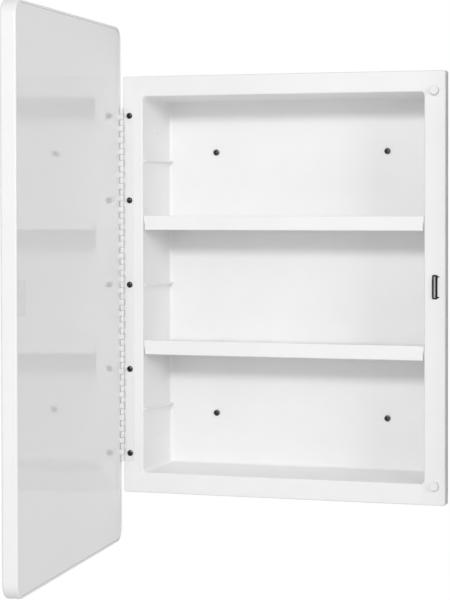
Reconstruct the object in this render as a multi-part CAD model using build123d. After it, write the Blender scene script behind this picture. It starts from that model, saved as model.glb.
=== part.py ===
from build123d import *
import os

# Mirrored medicine cabinet, recessed, with its door open as it stands at rest.
# Millimetres. X runs to the right, Y into the wall, Z up. The front faces -Y.
# The origin is the middle of the four wall screws, on the outer face of the back wall.

# Sizes of the moulded box and its flange
flange_width = 391.0
flange_height = 493.0
flange_depth = 12.5
flange_wall = 2.5
flange_corner = 3.0
flange_edge_round = 1.6
stile_width = 25.0
rail_height = 24.0
inner_depth = 82.0
draft_shift = 4.0
box_wall = 2.5
inner_corner = 4.5
back_round = 3.5
mouth_round = 2.0

# Ledges that carry the shelves
ledge_levels = 5
ledge_pitch = 73.7
ledge_top_offset = 1.0
ledge_thickness = 2.2
ledge_reach_front = 2.6
ledge_reach_back = 4.4
ledge_lip_gap = 0.3
upper_shelf_level = 1
lower_shelf_level = -1

# Shelves
shelf_plate = 2.5
shelf_side_gap = 0.4
shelf_back_gap = 1.5
shelf_setback = 1.0
lip_height = 16.8
lip_rise = 4.6
lip_thickness = 2.4
lip_end_gap = 1.6
lip_step = 1.2
lip_round = 1.1
rear_rib_height = 8.0
rear_rib_thickness = 2.0
rear_rib_end_gap = 6.0
shelf_rib_count = 3
shelf_rib_height = 6.0
shelf_rib_thickness = 2.0

# Hinge
hinge_length = 418.0
knuckle_count = 61
knuckle_gap = 0.15
knuckle_radius = 2.4
pin_radius = 1.45
pin_clearance = 0.05
leaf_thickness = 1.0
leaf_width = 14.3
axis_standoff = 2.7
axis_outset = 0.4
leaf_clear = 0.3
hinge_screw_count = 5
hinge_screw_end = 9.0
hinge_screw_inset = 9.1
hinge_screw_head = 3.6
hinge_screw_head_height = 2.2
hinge_screw_shank = 1.75
hinge_screw_length = 9.0
hinge_screw_tip = 2.0
hinge_screw_end_play = 0.5
countersink_radius = 3.2
countersink_depth = 1.6
slot_recess_width = 0.9
slot_recess_length = 3.6
slot_recess_depth = 0.8
screw_clearance = 0.05
boss_radius = 3.8
boss_floor = 1.2

# Magnetic catch in the right stile
catch_rise = 1.5
slot_width = 6.8
slot_height = 28.0
slot_corner = 1.8
notch_reach = 1.7
notch_height = 1.6
notch_offset = 11.7
cheek_width = 2.4
cheek_height = 19.5
cheek_rise = 0.4
housing_clearance = 0.3
housing_recess = 1.2
housing_flange_width = 13.0
housing_flange_height = 36.0
housing_back_depth = 8.0
housing_corner = 1.0
magnet_thickness = 1.7
magnet_depth = 6.0
magnet_height = 24.0
pole_thickness = 2.0
magnet_play = 0.05
pole_offset = 0.8
magnet_sink = 0.3
pole_edge_round = 0.4
pole_to_strike = 0.2

# Bumpers
bumper_end_inset = 22.5
bumper_radius = 5.2
bumper_round = 1.2
bumper_stem = 2.5
bumper_barb = 3.2
bumper_barb_height = 1.5
bumper_gap_closed = 0.2

# Wall screws
wall_screw_spacing_x = 213.0
wall_screw_spacing_z = 315.0
wall_screw_thread = 2.1
wall_screw_neck = 1.6
wall_screw_hole = 2.3
wall_screw_head = 3.7
wall_screw_head_height = 2.5
wall_screw_length = 25.0
wall_screw_tip = 3.0
cross_width = 1.1
cross_length = 4.4
cross_depth = 1.3

# Screw starting dimples in the side walls
dimple_end_inset = 66.5
dimple_depth_in = 41.0
dimple_radius = 1.2
dimple_sink = 0.8

# Door
door_side_overhang = 7.7
door_end_overhang = 58.3
door_thickness = 17.3
door_corner = 18.0
pocket_corner = 17.0
door_wall = 3.0
door_front_round = 2.6
door_back_round = 2.3
door_open_angle = 83.4
liner_recess = 1.0
liner_thickness = 0.6
liner_standoff = 3.4
liner_edge_gap = 0.2
shoulder_width = 8.0
board_thickness = 2.0
tape_thickness = 0.8
film_thickness = 0.2
glass_thickness = 3.0
glass_chamfer = 0.5
fill_gap = 0.2
tape_width = 20.0
tape_end_margin = 33.8
tape_count = 4
strip_side_margin = 5.6
strip_end_margin = 6.0
neck_thickness = 1.1
neck_clear = 0.2
neck_offset = 0.3
strike_width = 24.0
strike_height = 36.0
strike_thickness = 0.8
strike_corner = 1.5
rivet_pitch = 25.0
rivet_radius = 1.5
rivet_head = 2.6
rivet_head_height = 0.12
rivet_length = 4.0

# Places worked out from the sizes
y_front = -(inner_depth + box_wall)
y_wall = y_front + flange_depth
half_w = flange_width / 2
half_h = flange_height / 2
door_width = flange_width + 2 * door_side_overhang
door_height = flange_height + 2 * door_end_overhang
mouth_w = flange_width - 2 * stile_width
mouth_h = flange_height - 2 * rail_height
stile_x = half_w - stile_width / 2
axis_x = -half_w - axis_outset
axis_y = y_front - axis_standoff
y_liner = axis_y - liner_standoff
y_rim = y_liner + liner_recess
ledge_setback = shelf_setback + lip_thickness + ledge_lip_gap
pole_x = stile_x + pole_offset
level_tops = [k * ledge_pitch + ledge_top_offset for k in range(-(ledge_levels // 2), ledge_levels // 2 + 1)]
hinge_screw_pitch = (hinge_length - 2 * hinge_screw_end) / (hinge_screw_count - 1)
screw_heights = [(i - (hinge_screw_count - 1) / 2) * hinge_screw_pitch for i in range(hinge_screw_count)]
bumper_heights = [half_h - bumper_end_inset, bumper_end_inset - half_h]
dimple_heights = [half_h - dimple_end_inset, dimple_end_inset - half_h]
hinge_screw_x = axis_x + hinge_screw_inset
knuckle_pitch = hinge_length / knuckle_count
screw_x = wall_screw_spacing_x / 2
screw_z = wall_screw_spacing_z / 2
wall_screw_places = [(x, z) for x in (-screw_x, screw_x) for z in (-screw_z, screw_z)]


def facing_front(y, x=0.0, z=0.0):
    """Plane that looks out of the wall, with its X along X and its Y up."""
    return Plane(origin=(x, y, z), x_dir=(1, 0, 0), z_dir=(0, -1, 0))


def slab(width, height, corner, y0, y1, x=0.0, z=0.0):
    """Upright plate between two depths, with rounded corners when corner is above zero."""
    plane = facing_front(y1, x, z)
    outline = RectangleRounded(width, height, corner) if corner > 0 else Rectangle(width, height)
    return extrude(plane * outline, amount=y1 - y0)


def rod(radius, y0, y1, x, z):
    """Round bar along Y between two depths."""
    return extrude(facing_front(y1, x, z) * Circle(radius), amount=y1 - y0)


def block(x0, x1, y0, y1, z0, z1):
    """Plain block between two corners."""
    size = (x1 - x0, y1 - y0, z1 - z0)
    middle = ((x0 + x1) / 2, (y0 + y1) / 2, (z0 + z1) / 2)
    return Location(middle) * Box(*size)


def turned(points, x, z, y0):
    """Solid turned about an axis along Y. Points are (radius, distance behind y0)."""
    profile = make_face(Polyline(*[(r, d) for r, d in points], close=True))
    solid = revolve(profile, axis=Axis.Y)
    return Location((x, y0, z)) * solid


def at_depth(value_front, value_back, y):
    """Value that changes evenly from the mouth of the box to its back wall."""
    return value_front + (value_back - value_front) * (y - y_front) / inner_depth


def wall_x(y):
    """Inner face of a side wall at a depth, which leans in by the mould's draft."""
    return at_depth(mouth_w / 2, mouth_w / 2 - draft_shift, y)


def drafted_box(grow, y0, y1, corner):
    """Box that narrows towards the wall with the mould's draft."""
    faces = []
    for y in (y0, y1):
        lean = draft_shift * (y - y_front) / inner_depth
        w = mouth_w + 2 * (grow - lean)
        h = mouth_h + 2 * (grow - lean)
        faces.append(facing_front(y) * RectangleRounded(w, h, corner))
    return loft(faces, ruled=True)


def edges_at_depth(solid, y):
    """Edges that lie flat in the plane at one depth."""
    flat = []
    for e in solid.edges():
        box = e.bounding_box()
        if abs(box.min.Y - y) < 1e-4 and abs(box.max.Y - y) < 1e-4:
            flat.append(e)
    return flat


def inside_span(edges, half_x, half_z):
    """Those edges that lie within a rectangle round the middle."""
    kept = []
    for e in edges:
        c = e.center()
        if abs(c.X) < half_x and abs(c.Z) < half_z:
            kept.append(e)
    return kept


def cross_recess(x, y_face, z):
    """Cross-shaped driver recess cut into a screw head from the front."""
    bars = []
    for w, h in ((cross_length, cross_width), (cross_width, cross_length)):
        bars.append(block(x - w / 2, x + w / 2, y_face, y_face + cross_depth, z - h / 2, z + h / 2))
    return bars[0] + bars[1]


def pan_screw(x, z, y_seat, head_r, head_h, shank):
    """Pan-head screw: a domed head in front of its seat, and a shank of (radius, depth) points behind it."""
    dome = [(0, -head_h), (head_r * 0.42, -head_h * 0.96), (head_r * 0.72, -head_h * 0.8)]
    rim = [(head_r * 0.92, -head_h * 0.5), (head_r, -head_h * 0.18), (head_r, 0)]
    solid = turned(dome + rim + shank + [(0, shank[-1][1])], x, z, y_seat)
    return solid - cross_recess(x, y_seat - head_h, z)


# Cabinet body: one moulding of box, flange, skirt and ledges

def ledge(side, z_top):
    """Moulded ledge on one side wall, a little wider at the back."""
    ya = y_front + ledge_setback
    yb = y_front + inner_depth
    outline = [
        (wall_x(ya) + box_wall / 2, ya),
        (wall_x(ya) - ledge_reach_front, ya),
        (wall_x(yb) - ledge_reach_back, yb),
        (wall_x(yb) - ledge_reach_back, yb + box_wall / 2),
        (wall_x(yb) + box_wall / 2, yb + box_wall / 2),
    ]
    pts = [(side * x, y) for x, y in outline]
    upright = extrude(make_face(Polyline(*pts, close=True)), amount=ledge_thickness, dir=(0, 0, 1))
    return Location((0, 0, z_top - ledge_thickness)) * upright


def make_cabinet_body():
    shell = slab(flange_width, flange_height, flange_corner, y_front, y_wall)
    shell = fillet(edges_at_depth(shell, y_front), flange_edge_round)
    hollow_w = flange_width - 2 * flange_wall
    hollow_h = flange_height - 2 * flange_wall
    hollow = slab(hollow_w, hollow_h, max(flange_corner - flange_wall, 0.5), y_front + flange_wall, y_wall)
    body = shell - hollow
    body = body + drafted_box(box_wall, y_front + flange_wall / 2, 0.0, inner_corner + box_wall)
    y_boss = y_front + hinge_screw_length + boss_floor
    for z in screw_heights:
        body = body + rod(boss_radius, y_front + flange_wall / 2, y_boss, hinge_screw_x, z)
    cavity = drafted_box(0.0, y_front, y_front + inner_depth, inner_corner)
    cavity = fillet(edges_at_depth(cavity, y_front + inner_depth), back_round)
    y_dimple = y_front + dimple_depth_in
    for side in (-1, 1):
        for z in dimple_heights:
            place = Location((side * wall_x(y_dimple), y_dimple, z))
            cavity = cavity + place * Rotation(0, 90, 0) * Cylinder(dimple_radius, 2 * dimple_sink)
    body = body - cavity
    mouth = inside_span(edges_at_depth(body, y_front), mouth_w / 2 + 1, mouth_h / 2 + 1)
    body = fillet(mouth, mouth_round)
    for z_top in level_tops:
        for side in (-1, 1):
            body = body + ledge(side, z_top)
    for side in (-1, 1):
        x = stile_x + side * (slot_width / 2 + cheek_width / 2)
        y_cheek = y_front - cheek_rise
        body = body + slab(cheek_width, cheek_height, 0.5, y_cheek, y_front + flange_wall / 2, x, catch_rise)
    # Holes and cuts
    screw_hole = hinge_screw_shank + screw_clearance
    y_plate = y_front + flange_wall
    for z in screw_heights:
        body = body - rod(screw_hole, y_front, y_front + hinge_screw_length, hinge_screw_x, z)
    for z in bumper_heights:
        body = body - rod(bumper_stem + screw_clearance, y_front, y_plate, stile_x, z)
    body = body - slab(slot_width, slot_height, slot_corner, y_cheek, y_plate, stile_x, catch_rise)
    for side in (-1, 1):
        z = catch_rise + side * notch_offset
        x0 = stile_x + slot_width / 2 - 1.0
        x1 = stile_x + slot_width / 2 + notch_reach
        body = body - block(x0, x1, y_cheek, y_plate, z - notch_height / 2, z + notch_height / 2)
    for x, z in wall_screw_places:
        body = body - rod(wall_screw_hole, y_front + inner_depth, 0.0, x, z)
    return body


# Shelves: thin plates on the ledges, each with a front lip that stands up and hangs down

def make_shelf(level):
    z_seat = level * ledge_pitch + ledge_top_offset
    ya = y_front + shelf_setback + 0.5
    yb = y_front + inner_depth - shelf_back_gap
    xa = wall_x(ya) - shelf_side_gap
    xb = wall_x(yb) - shelf_side_gap
    inset = back_round * 0.8
    plan = [(-xa, ya), (xa, ya), (xb, yb - inset), (xb - inset, yb), (-xb + inset, yb), (-xb, yb - inset)]
    plate = Location((0, 0, z_seat)) * extrude(make_face(Polyline(*plan, close=True)), amount=shelf_plate)
    y_lip = y_front + shelf_setback
    x_full = wall_x(y_lip + lip_thickness) - shelf_side_gap
    x_cut = x_full + shelf_side_gap - lip_end_gap
    z_top = z_seat + shelf_plate + lip_rise
    z_low = z_top - lip_height
    z_step = z_seat + lip_step
    corners = [(x_full, z_top), (x_full, z_step), (x_cut, z_step), (x_cut, z_low)]
    corners = corners + [(-x, z) for x, z in reversed(corners)]
    face = facing_front(y_lip + lip_thickness) * make_face(Polyline(*corners, close=True))
    lip = extrude(face, amount=lip_thickness)
    lip = fillet(edges_at_depth(lip, y_lip), lip_round)
    shelf = plate + lip
    rear_w = 2 * (wall_x(yb) - rear_rib_end_gap)
    z_rib = z_seat + shelf_plate / 2
    y_rear = yb - rear_rib_thickness
    shelf = shelf + block(-rear_w / 2, rear_w / 2, y_rear, yb, z_seat - rear_rib_height, z_rib)
    span = rear_w * 0.5
    for i in range(shelf_rib_count):
        x = (i - (shelf_rib_count - 1) / 2) * span / 2
        half = shelf_rib_thickness / 2
        ya = y_lip + lip_thickness / 2
        yb = y_rear + rear_rib_thickness / 2
        shelf = shelf + block(x - half, x + half, ya, yb, z_seat - shelf_rib_height, z_rib)
    return shelf


# Hinge: two leaves rolled round one pin

def knuckle_spans(first):
    """Heights of every second knuckle, starting from the bottom at first."""
    spans = []
    for i in range(first, knuckle_count, 2):
        z0 = -hinge_length / 2 + i * knuckle_pitch + knuckle_gap / 2
        spans.append((z0, z0 + knuckle_pitch - knuckle_gap))
    return spans


def knuckle(arm, z0, z1):
    """One knuckle: a ring round the pin with an arm to its leaf, given as a rectangle."""
    x0, x1, y0, y1 = arm
    on_axis = Location((axis_x, axis_y, (z0 + z1) / 2))
    ring = on_axis * Cylinder(knuckle_radius, z1 - z0)
    bore = on_axis * Cylinder(pin_radius + pin_clearance, z1 - z0)
    return ring + block(x0, x1, y0, y1, z0, z1) - bore


def make_cabinet_leaf():
    x_plate = axis_x + ((knuckle_radius + leaf_clear) ** 2 - (axis_standoff - leaf_thickness) ** 2) ** 0.5
    y0 = y_front - leaf_thickness
    leaf = block(x_plate, axis_x + leaf_width, y0, y_front, -hinge_length / 2, hinge_length / 2)
    for z in screw_heights:
        leaf = leaf - rod(hinge_screw_shank + 2 * screw_clearance, y0, y_front, hinge_screw_x, z)
    arm = (axis_x + 0.4, x_plate + 0.5, y0, y_front)
    return leaf.fuse(*[knuckle(arm, z0, z1) for z0, z1 in knuckle_spans(0)])


def door_leaf_plate_y():
    """Front and back depth of the door leaf, which lies under the liner."""
    y1 = y_liner - liner_thickness
    return y1 - leaf_thickness, y1


def make_door_leaf():
    y0, y1 = door_leaf_plate_y()
    x0 = axis_x + neck_offset
    leaf = block(x0, axis_x + leaf_width, y0, y1, -hinge_length / 2, hinge_length / 2)
    leaf = leaf + block(x0, x0 + neck_thickness, y0, y_liner, -hinge_length / 2, hinge_length / 2)
    arm = (x0, x0 + neck_thickness, y0, axis_y - (knuckle_radius + pin_radius) / 2)
    leaf = leaf.fuse(*[knuckle(arm, z0, z1) for z0, z1 in knuckle_spans(1)])
    for z in screw_heights:
        leaf = leaf - countersunk_screw(hinge_screw_x, z, screw_clearance)
    return leaf


def make_pin():
    length = hinge_length + 2 * knuckle_gap
    return Location((axis_x, axis_y, 0)) * Cylinder(pin_radius, length)


def countersunk_screw(x, z, grow):
    """Flat-head screw whose head lies flush in the door leaf. Grow widens it for a hole."""
    y0, y1 = door_leaf_plate_y()
    head = countersink_radius + grow
    shank = hinge_screw_shank + grow
    length = hinge_screw_length + grow
    return turned([(0, 0), (head, 0), (shank, -countersink_depth), (shank, -length), (0, -length)], x, z, y1)


def make_door_leaf_screws():
    screws = []
    y0, y1 = door_leaf_plate_y()
    for z in screw_heights:
        screw = countersunk_screw(hinge_screw_x, z, 0.0)
        for w, h in ((slot_recess_length, slot_recess_width), (slot_recess_width, slot_recess_length)):
            x0 = hinge_screw_x - w / 2
            screw = screw - block(x0, x0 + w, y1 - slot_recess_depth, y1, z - h / 2, z + h / 2)
        screws.append(screw)
    return Compound(children=screws)


def make_cabinet_leaf_screws():
    y_seat = y_front - leaf_thickness
    length = hinge_screw_length + leaf_thickness - hinge_screw_end_play
    r = hinge_screw_shank
    shank = [(r, 0), (r, length - hinge_screw_tip), (r * 0.2, length)]
    screws = []
    for z in screw_heights:
        screws.append(pan_screw(hinge_screw_x, z, y_seat, hinge_screw_head, hinge_screw_head_height, shank))
    return Compound(children=screws)


# Magnetic catch: housing, a thick and a thin magnet, and a pole plate between them

def catch_front():
    return y_front + housing_recess


def make_catch_housing():
    y0 = y_front + flange_wall
    y1 = y0 + housing_back_depth
    w = slot_width - 2 * housing_clearance
    h = slot_height - 2 * housing_clearance
    neck = slab(w, h, slot_corner - housing_clearance, catch_front(), (y0 + y1) / 2, stile_x, catch_rise)
    base = slab(housing_flange_width, housing_flange_height, housing_corner, y0, y1, stile_x, catch_rise)
    pocket_width = 2 * magnet_thickness + pole_thickness + 4 * magnet_play
    pocket_height = magnet_height + 2 * magnet_play
    y_pocket = catch_front() + magnet_depth
    pocket = slab(pocket_width, pocket_height, 0, catch_front(), y_pocket, stile_x, catch_rise)
    return neck + base - pocket


def make_catch_magnets():
    y0 = catch_front() + magnet_sink
    y1 = catch_front() + magnet_depth
    magnets = []
    for side in (-1, 1):
        thickness = magnet_thickness - side * pole_offset
        x = pole_x + side * (pole_thickness / 2 + magnet_play + thickness / 2)
        magnets.append(slab(thickness, magnet_height, 0, y0, y1, x, catch_rise))
    return Compound(children=magnets)


def make_pole_plate():
    y_tip = y_liner + strike_thickness + pole_to_strike
    plate = slab(pole_thickness, magnet_height, 0, y_tip, catch_front() + magnet_depth, pole_x, catch_rise)
    return fillet(edges_at_depth(plate, y_tip), pole_edge_round)


def make_bumper(z):
    top = -(y_front - y_liner - bumper_gap_closed)
    end = flange_wall + bumper_barb_height
    r = bumper_radius
    soft = bumper_round
    dome = [(0, top), (r - soft, top), (r - soft * 0.3, top + soft * 0.3), (r, top + soft), (r, 0)]
    stem = [(bumper_stem, 0), (bumper_stem, flange_wall)]
    barb = [(bumper_barb, flange_wall), (bumper_stem * 0.7, end), (0, end)]
    return turned(dome + stem + barb, stile_x, z, y_front)


def make_wall_screws():
    y_seat = y_front + inner_depth
    r = wall_screw_thread
    neck = [(wall_screw_neck, 0), (wall_screw_neck, box_wall)]
    thread = [(r, box_wall), (r, wall_screw_length - wall_screw_tip), (r * 0.2, wall_screw_length)]
    screws = []
    for x, z in wall_screw_places:
        screws.append(pan_screw(x, z, y_seat, wall_screw_head, wall_screw_head_height, neck + thread))
    return Compound(children=screws)


# Door, built shut and then swung open. Depth t runs from the rim's back edge to the mirror.

def door_slab(width, height, corner, t0, t1, x=0.0, z=0.0):
    return slab(width, height, corner, y_rim - t1, y_rim - t0, x, z)


t_liner = liner_recess
t_shoulder = liner_recess + liner_thickness
t_pocket = door_thickness - glass_thickness - film_thickness - tape_thickness
pocket_w = door_width - 2 * door_wall
pocket_h = door_height - 2 * door_wall
fill_w = pocket_w - 2 * shoulder_width
fill_h = pocket_h - 2 * shoulder_width
fill_corner = pocket_corner - shoulder_width
strip_x0 = -fill_w / 2 + fill_gap
strip_x1 = axis_x + leaf_width + strip_side_margin
strike_x = stile_x
rivet_heights = [catch_rise - rivet_pitch / 2, catch_rise + rivet_pitch / 2]


def leaf_rebate():
    """Room for the door leaf in the frame's shoulder and the backing strip."""
    y0, y1 = door_leaf_plate_y()
    half = hinge_length / 2 + neck_clear
    return block(axis_x + neck_offset - neck_clear, axis_x + leaf_width + neck_clear, y0, y1, -half, half)


def make_door_frame():
    frame = door_slab(door_width, door_height, door_corner, 0, door_thickness)
    frame = fillet(edges_at_depth(frame, y_rim - door_thickness), door_front_round)
    frame = fillet(edges_at_depth(frame, y_rim), door_back_round)
    frame = frame - door_slab(pocket_w, pocket_h, pocket_corner, 0, t_shoulder)
    frame = frame - door_slab(fill_w, fill_h, fill_corner, t_shoulder, t_pocket)
    frame = frame - door_slab(pocket_w, pocket_h, pocket_corner, t_pocket, door_thickness)
    return frame - leaf_rebate()


def make_door_liner():
    gap = 2 * liner_edge_gap
    liner = door_slab(pocket_w - gap, pocket_h - gap, pocket_corner - liner_edge_gap, t_liner, t_shoulder)
    half = hinge_length / 2 + neck_clear
    x0 = axis_x + neck_offset - neck_clear
    x1 = axis_x + neck_offset + neck_thickness + neck_clear
    liner = liner - block(x0, x1, y_liner - liner_thickness, y_liner, -half, half)
    for z in rivet_heights:
        liner = liner - rod(rivet_radius + screw_clearance, y_liner - liner_thickness, y_liner, strike_x, z)
    return liner


def make_strip():
    z = hinge_length / 2 + strip_end_margin
    strip = block(strip_x0, strip_x1, y_rim - t_pocket + board_thickness, y_rim - t_shoulder, -z, z)
    strip = strip - leaf_rebate()
    for height in screw_heights:
        strip = strip - countersunk_screw(hinge_screw_x, height, screw_clearance)
    return strip


def make_core():
    gap = 2 * fill_gap
    t_board = t_pocket - board_thickness
    core = door_slab(fill_w - gap, fill_h - gap, fill_corner - fill_gap, t_shoulder, t_board)
    z = hinge_length / 2 + strip_end_margin + fill_gap
    y0 = y_rim - t_pocket
    core = core - block(-fill_w, strip_x1 + fill_gap, y0, y_rim, -z, z)
    for z in rivet_heights:
        core = core - rod(rivet_radius + 3 * fill_gap, y_liner - rivet_length, y_rim, strike_x, z)
    return core


def make_board():
    gap = 2 * fill_gap
    return door_slab(fill_w - gap, fill_h - gap, fill_corner - fill_gap, t_pocket - board_thickness, t_pocket)


def make_tapes():
    span = fill_w - 2 * tape_width
    tape_length = fill_h - 2 * tape_end_margin
    tapes = []
    for i in range(tape_count):
        x = -span / 2 + i * span / (tape_count - 1)
        tapes.append(door_slab(tape_width, tape_length, 0, t_pocket, t_pocket + tape_thickness, x))
    return Compound(children=tapes)


def make_film():
    gap = 2 * liner_edge_gap
    t0 = t_pocket + tape_thickness
    return door_slab(pocket_w - gap, pocket_h - gap, pocket_corner - liner_edge_gap, t0, t0 + film_thickness)


def make_glass():
    gap = 2 * liner_edge_gap
    t0 = t_pocket + tape_thickness + film_thickness
    t1 = t0 + glass_thickness
    glass = door_slab(pocket_w - gap, pocket_h - gap, pocket_corner - liner_edge_gap, t0, t1)
    return chamfer(edges_at_depth(glass, y_rim - door_thickness), glass_chamfer)


def make_strike():
    y1 = y_liner + strike_thickness
    plate = slab(strike_width, strike_height, strike_corner, y_liner, y1, strike_x, catch_rise)
    for z in rivet_heights:
        plate = plate - rod(rivet_radius + screw_clearance, y_liner, y1, strike_x, z)
    return plate


def make_rivets():
    y_face = y_liner + strike_thickness
    head = [(0, rivet_head_height), (rivet_head * 0.7, rivet_head_height), (rivet_head, 0)]
    stem = [(rivet_radius, 0), (rivet_radius, -rivet_length), (0, -rivet_length)]
    return Compound(children=[turned(head + stem, strike_x, z, y_face) for z in rivet_heights])


def swing_open(shape):
    """Turns a door piece from shut to the angle at which the door stands at rest."""
    there = Location((axis_x, axis_y, 0))
    back = Location((-axis_x, -axis_y, 0))
    return there * Rotation(0, 0, -door_open_angle) * back * shape


nodes = {
    "cabinet_body": make_cabinet_body(),
    "upper_shelf": make_shelf(upper_shelf_level),
    "lower_shelf": make_shelf(lower_shelf_level),
    "hinge_cabinet_leaf": make_cabinet_leaf(),
    "hinge_pin": make_pin(),
    "cabinet_leaf_screws": make_cabinet_leaf_screws(),
    "catch_housing": make_catch_housing(),
    "catch_magnets": make_catch_magnets(),
    "catch_pole_plate": make_pole_plate(),
    "upper_bumper": make_bumper(bumper_heights[0]),
    "lower_bumper": make_bumper(bumper_heights[1]),
    "wall_screws": make_wall_screws(),
    "door_frame": swing_open(make_door_frame()),
    "door_liner": swing_open(make_door_liner()),
    "door_core": swing_open(make_core()),
    "door_backing_board": swing_open(make_board()),
    "hinge_backing_strip": swing_open(make_strip()),
    "hinge_door_leaf": swing_open(make_door_leaf()),
    "door_leaf_screws": swing_open(make_door_leaf_screws()),
    "mirror_tapes": swing_open(make_tapes()),
    "mirror_film": swing_open(make_film()),
    "mirror_glass": swing_open(make_glass()),
    "strike_plate": swing_open(make_strike()),
    "strike_rivets": swing_open(make_rivets()),
}

os.makedirs("parts", exist_ok=True)
for name, shape in nodes.items():
    export_step(shape, f"parts/{name}.step")
    print(name, len(shape.solids()), "solid(s)", round(shape.volume / 1000, 2), "cm3")
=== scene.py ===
# %% [markdown]
# # A mirrored medicine cabinet
#
# The object is a white moulded box for a recess in a bathroom wall. Two shelves rest on ledges
# inside it, and a rounded mirror door hangs on a hinge down its left side. The solids come from
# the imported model. This script gives every surface its finish, makes the screws and the hinge's
# rolled knuckles, and sets up the light and the camera.

import math

import bmesh
import bpy
from mathutils import Matrix, Vector


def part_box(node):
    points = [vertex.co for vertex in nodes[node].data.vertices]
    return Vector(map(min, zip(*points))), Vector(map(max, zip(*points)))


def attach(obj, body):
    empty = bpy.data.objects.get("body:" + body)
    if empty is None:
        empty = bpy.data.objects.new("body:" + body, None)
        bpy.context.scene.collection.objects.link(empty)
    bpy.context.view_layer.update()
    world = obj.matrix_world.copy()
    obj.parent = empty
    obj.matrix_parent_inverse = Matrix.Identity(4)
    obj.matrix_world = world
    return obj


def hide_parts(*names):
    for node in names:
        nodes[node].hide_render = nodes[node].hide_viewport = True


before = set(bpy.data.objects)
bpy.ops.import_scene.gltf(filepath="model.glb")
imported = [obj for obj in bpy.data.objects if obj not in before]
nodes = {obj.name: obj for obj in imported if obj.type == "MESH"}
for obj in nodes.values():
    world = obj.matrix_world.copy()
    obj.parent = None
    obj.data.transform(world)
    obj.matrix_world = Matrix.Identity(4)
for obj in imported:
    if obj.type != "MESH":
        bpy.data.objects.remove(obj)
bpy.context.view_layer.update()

# %% [markdown]
# ## Sizes that the finish needs
#
# Everything is in metres. Each place is read from a solid's own box, so a piece made here sits
# exactly where the solid that it stands for sits.

# %% Read places from the solids
MM = 0.001
leaf_low, leaf_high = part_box("hinge_cabinet_leaf")
pin_low, pin_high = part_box("hinge_pin")
axis = (pin_low + pin_high) / 2
axis.z = 0.0
front_y = leaf_high.y
hinge_length = leaf_high.z - leaf_low.z
print("hinge axis at", [round(v / MM, 2) for v in axis], "mm")
print("flange front at", round(front_y / MM, 2), "mm")

# %% [markdown]
# ## Small helpers
#
# A colour is written as it looks on a screen, as a hex value, and Blender's shaders work in linear
# light, so one function turns the first into the second. Another adds a node, sets its sockets and
# links it, which keeps each material short enough to read. The last one puts a mesh, a curve,
# a lamp or a camera into the scene.

# %% Colour, node and object helpers
def linear(code):
    parts = [int(code[i:i + 2], 16) / 255 for i in (0, 2, 4)]
    return tuple(p / 12.92 if p <= 0.04045 else ((p + 0.055) / 1.055) ** 2.4 for p in parts) + (1.0,)


def wire(tree, node, links):
    for key, socket in links.items():
        tree.links.new(socket, node.inputs[key])


def add(tree, kind, values=None, links=None, **settings):
    node = tree.nodes.new(kind)
    for key, value in settings.items():
        setattr(node, key, value)
    for key, value in (values or {}).items():
        node.inputs[key].default_value = value
    wire(tree, node, links or {})
    return node


def put(name, data):
    thing = bpy.data.objects.new(name, data)
    bpy.context.scene.collection.objects.link(thing)
    return thing


print("F3F3F3 is", [round(c, 3) for c in linear("F3F3F3")])

# %% [markdown]
# Every finish starts alike: a new material with Blender's Principled shader, and a place on the
# object in its own coordinates, so that a pattern's size is a real one. A noise's scale is how
# many of its grains fit into a metre, and the finishes below give the grain in millimetres.

# %% Start of a material
def start_material(name):
    material = bpy.data.materials.new(name)
    material.use_nodes = True
    tree = material.node_tree
    place = add(tree, "ShaderNodeTexCoord").outputs["Object"]
    return material, tree, tree.nodes["Principled BSDF"], place


def per_metre(grain_mm):
    return 1000 / grain_mm


print("a grain of 1.6 mm has the scale", per_metre(1.6))

# %% [markdown]
# ## A moulded plastic finish
#
# Injection-moulded polystyrene is never a flat colour. The mould's satin texture breaks up the
# gloss in grains of a fraction of a millimetre, and the melt leaves a very faint cloudiness over
# a hand's width. Two noise patterns give these: one drives the bump and the roughness, and one
# the colour. The grains are drawn coarser than real ones, at half a millimetre to four, so that
# they show.

# %% Plastic material
def moulded(name, code, shade, roughness, grain_mm, grain_height_mm, cloud_mm=70):
    material, tree, surface, place = start_material(name)
    cloud = add(tree, "ShaderNodeTexNoise",
                {"Scale": per_metre(cloud_mm), "Detail": 3.0, "Roughness": 0.55}, {"Vector": place})
    colour = add(tree, "ShaderNodeValToRGB", links={"Fac": cloud.outputs["Fac"]})
    for stop, position, tint in zip(colour.color_ramp.elements, (0.3, 0.7), (shade, code)):
        stop.position = position
        stop.color = linear(tint)
    grain = add(tree, "ShaderNodeTexNoise", {"Scale": per_metre(grain_mm), "Detail": 2.0}, {"Vector": place})
    gloss = add(tree, "ShaderNodeMapRange", {"To Min": roughness * 0.85, "To Max": roughness * 1.15},
                {"Value": grain.outputs["Fac"]})
    bump = add(tree, "ShaderNodeBump", {"Strength": 0.5, "Distance": grain_height_mm * MM},
               {"Height": grain.outputs["Fac"]})
    wire(tree, surface, {"Base Color": colour.outputs["Color"], "Roughness": gloss.outputs["Result"],
                         "Normal": bump.outputs["Normal"]})
    return material


print("plastic finish ready")

# %% [markdown]
# The box and the shelves are satin white. The door's rim is a glossier plastic with a soft, long
# ripple. The bumpers are slightly greyer soft rubber. The catch is a matt black case round two
# dull, sintered magnets. Paper and foam tape, inside the door, are rough and coarse.

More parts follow.
